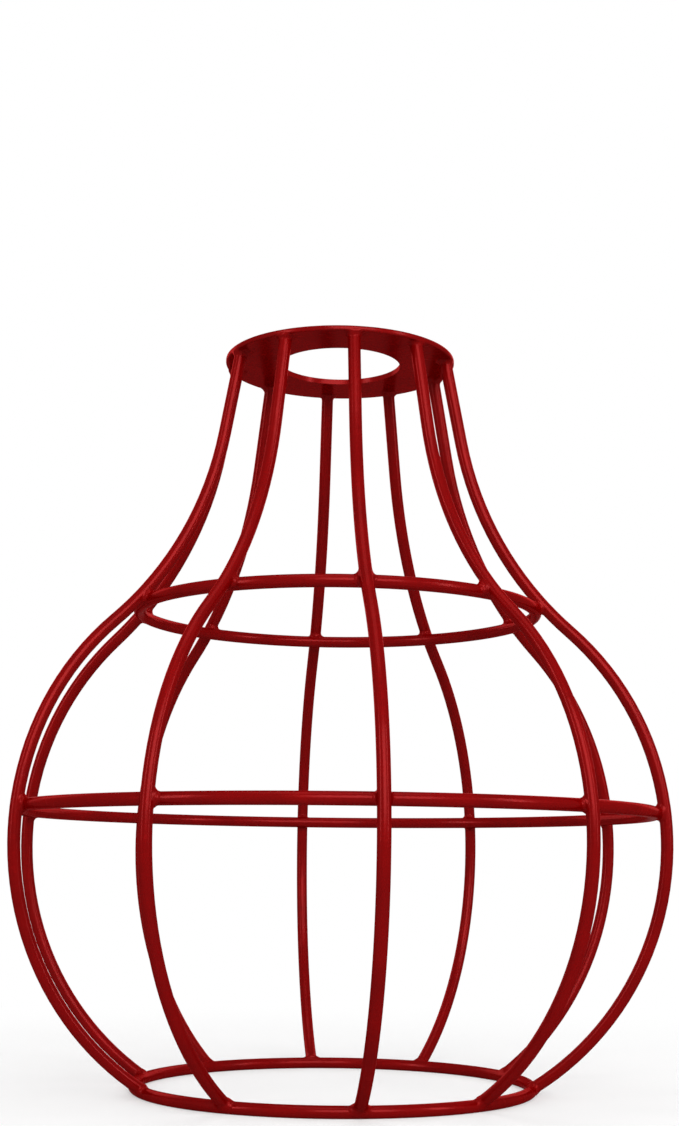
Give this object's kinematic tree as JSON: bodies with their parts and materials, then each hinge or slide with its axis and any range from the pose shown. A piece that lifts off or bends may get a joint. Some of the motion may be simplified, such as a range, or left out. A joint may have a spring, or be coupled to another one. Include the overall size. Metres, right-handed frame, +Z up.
{
  "type": "wire cage lamp shade",
  "caption": "Pear-shaped open wire cage shade: bent ribs welded under a flat fitter plate and round wire rings, with a hole that clamps on a pendant lamp holder.",
  "frame": {"origin": "centre of the holder hole, level with the fitter plate's top face", "axes": "+Z up along the cage's axis, out of the holder hole; -Y is the front, where one rib stands; the cage hangs below the origin"},
  "size_m": [0.155, 0.1604, 0.1762],
  "materials": {
    "red_coat": "satin-gloss deep red powder coat on mild steel"
  },
  "bodies": {
    "root": {"fitter_plate": "red_coat", "shoulder_ring": "red_coat", "belly_ring": "red_coat", "bottom_ring": "red_coat", "rib_01": "red_coat", "rib_02": "red_coat", "rib_03": "red_coat", "rib_04": "red_coat", "rib_05": "red_coat", "rib_06": "red_coat", "rib_07": "red_coat", "rib_08": "red_coat", "rib_09": "red_coat", "rib_10": "red_coat"}
  },
  "joints": []
}
